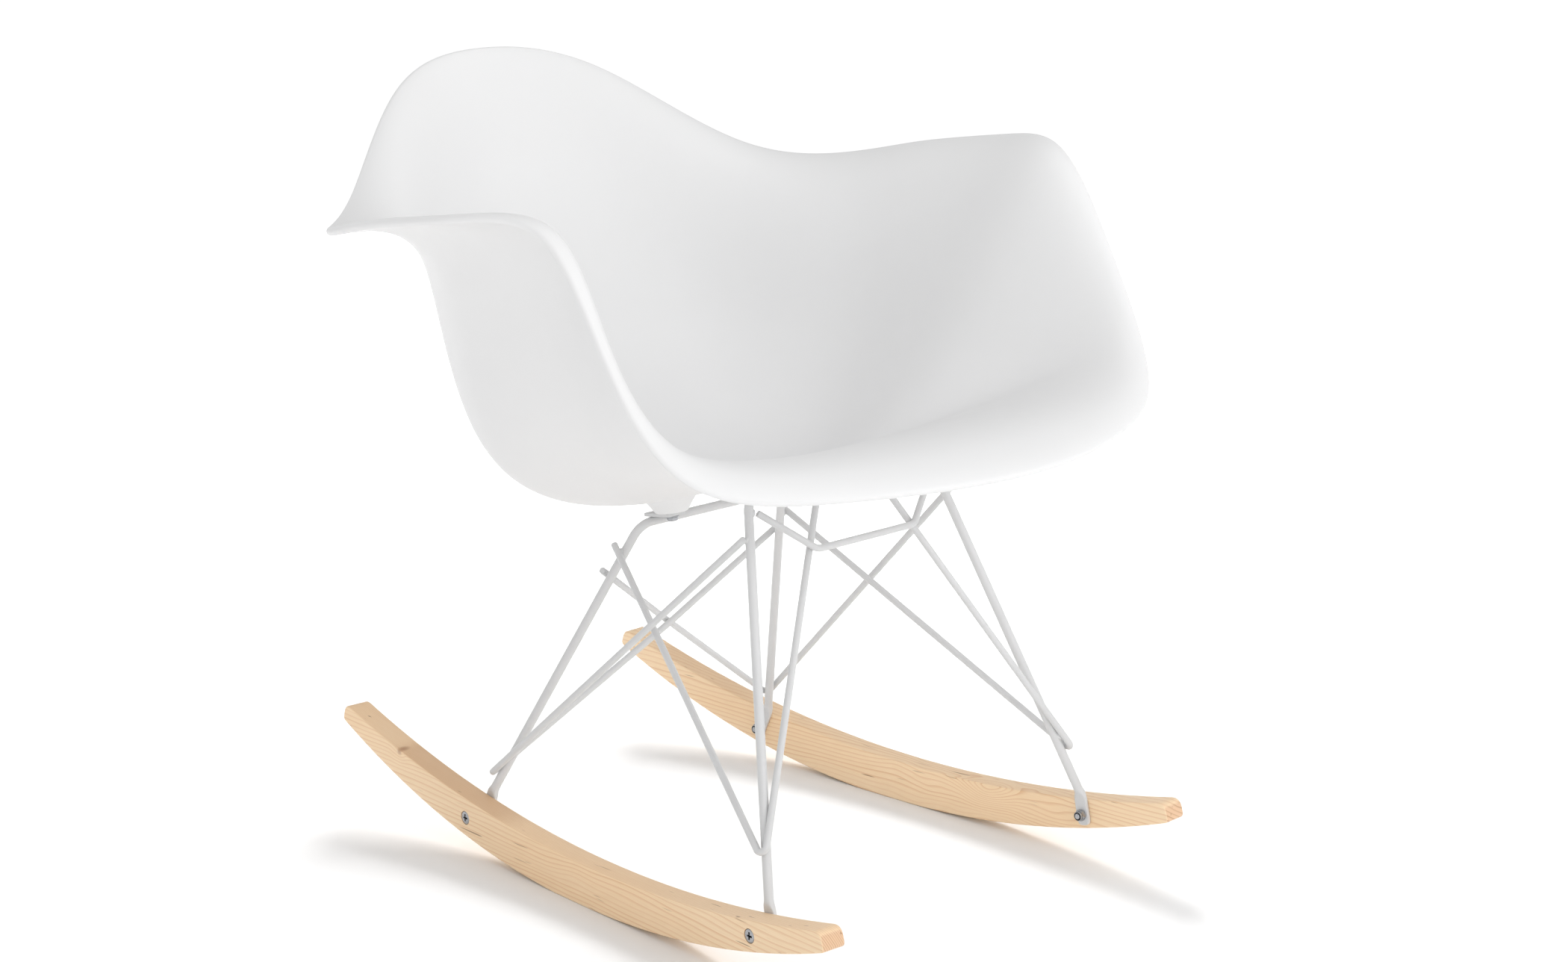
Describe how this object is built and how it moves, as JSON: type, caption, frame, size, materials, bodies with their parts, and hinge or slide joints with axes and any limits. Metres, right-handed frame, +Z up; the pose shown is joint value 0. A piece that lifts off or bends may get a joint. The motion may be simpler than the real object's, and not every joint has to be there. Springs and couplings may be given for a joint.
{
  "type": "rocking_chair",
  "caption": "Rocking armchair with a moulded plastic bucket shell on a bent steel wire base, bolted to curved maple runners",
  "frame": {"origin": "on the floor, under the middle of the chair's box", "axes": "+X to the chair's left, -Y to its front, +Z up"},
  "size_m": [0.6408, 0.7018, 0.6887],
  "materials": {
    "shell": "satin, very fine texture",
    "frame": "smooth white powder coat",
    "runner": "clear satin lacquer on maple",
    "hardware": "zinc plated",
    "insert": "machined",
    "nut_ring": "dark nylon"
  },
  "bodies": {
    "root": {"seat_shell": "shell", "threaded_insert_front_left": "insert", "mount_plate_front_left": "frame", "mount_washer_front_left": "hardware", "mount_screw_front_left": "hardware", "threaded_insert_front_right": "insert", "mount_plate_front_right": "frame", "mount_washer_front_right": "hardware", "mount_screw_front_right": "hardware", "threaded_insert_rear_left": "insert", "mount_plate_rear_left": "frame", "mount_washer_rear_left": "hardware", "mount_screw_rear_left": "hardware", "threaded_insert_rear_right": "insert", "mount_plate_rear_right": "frame", "mount_washer_rear_right": "hardware", "mount_screw_rear_right": "hardware", "front_support_rod": "frame", "rear_support_rod": "frame", "front_brace": "frame", "front_left_strut": "frame", "rear_left_strut": "frame", "left_runner": "runner", "runner_screw_front_left": "hardware", "lock_nut_front_left": "hardware", "lock_nut_ring_front_left": "nut_ring", "runner_screw_rear_left": "hardware", "lock_nut_rear_left": "hardware", "lock_nut_ring_rear_left": "nut_ring", "front_right_strut": "frame", "rear_right_strut": "frame", "right_runner": "runner", "runner_screw_front_right": "hardware", "lock_nut_front_right": "hardware", "lock_nut_ring_front_right": "nut_ring", "runner_screw_rear_right": "hardware", "lock_nut_rear_right": "hardware", "lock_nut_ring_rear_right": "nut_ring"}
  },
  "joints": []
}
